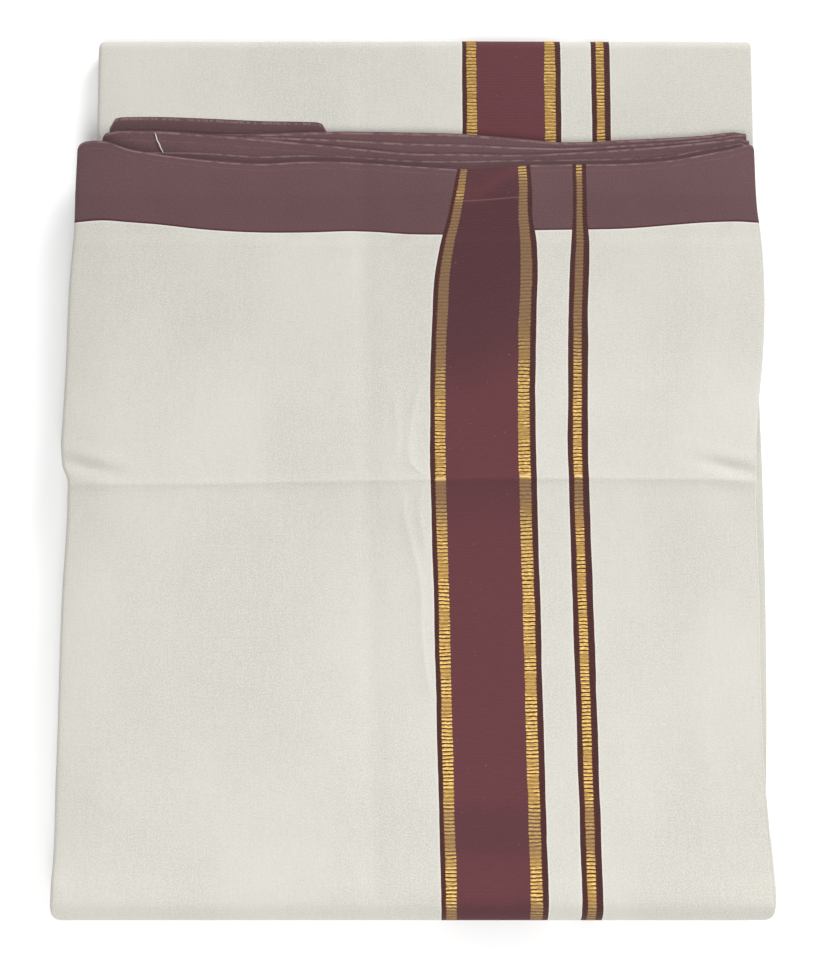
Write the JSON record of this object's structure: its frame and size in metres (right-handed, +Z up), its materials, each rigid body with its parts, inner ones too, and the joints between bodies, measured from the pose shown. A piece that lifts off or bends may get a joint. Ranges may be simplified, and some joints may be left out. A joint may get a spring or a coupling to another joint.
{
  "type": "dhoti cloth",
  "caption": "Dhoti: an unstitched ivory cotton cloth with a maroon selvedge and gold-lined maroon bands, folded flat for the shelf.",
  "frame": {"origin": "centre of the folded cloth's footprint, on the surface it lies on", "axes": "+X across the leaves, from the whole folds on the left to the finer folds on the right; +Y from the lower fold to the selvedge end and its ledge; +Z up from the surface, out of the front leaf"},
  "size_m": [0.2678, 0.336, 0.019],
  "materials": {
    "ground": "ivory plain-weave cotton, matt, lightly starched",
    "selvedge": "dull maroon plain weave with pale warps, matt",
    "field": "maroon weft-faced weave with a slight sheen",
    "edge": "dark maroon woven line, matt",
    "gold": "ribbed metallic gold thread, satin"
  },
  "bodies": {
    "root": {"front_ground_left": "ground", "underside_ground_left": "ground", "ledge_ground_left": "ground", "front_selvedge_left": "selvedge", "front_wide_band_edge_left": "edge", "underside_wide_band_edge_left": "edge", "ledge_wide_band_edge_left": "edge", "front_wide_band_gold_left": "gold", "underside_wide_band_gold_left": "gold", "ledge_wide_band_gold_left": "gold", "front_wide_band_field": "field", "underside_wide_band_field": "field", "ledge_wide_band_field": "field", "front_wide_band_gold_right": "gold", "underside_wide_band_gold_right": "gold", "ledge_wide_band_gold_right": "gold", "front_wide_band_edge_right": "edge", "underside_wide_band_edge_right": "edge", "ledge_wide_band_edge_right": "edge", "front_ground_middle": "ground", "underside_ground_middle": "ground", "ledge_ground_middle": "ground", "front_selvedge_middle": "selvedge", "front_narrow_band_edge_left": "edge", "underside_narrow_band_edge_left": "edge", "ledge_narrow_band_edge_left": "edge", "front_narrow_band_gold": "gold", "underside_narrow_band_gold": "gold", "ledge_narrow_band_gold": "gold", "front_narrow_band_edge_right": "edge", "underside_narrow_band_edge_right": "edge", "ledge_narrow_band_edge_right": "edge", "front_ground_right": "ground", "underside_ground_right": "ground", "ledge_ground_right": "ground", "front_selvedge_right": "selvedge", "second_leaf_selvedge": "selvedge", "third_leaf_selvedge": "selvedge", "short_leaf_selvedge": "selvedge", "fifth_leaf_selvedge": "selvedge", "hidden_leaves": "ground"}
  },
  "joints": []
}
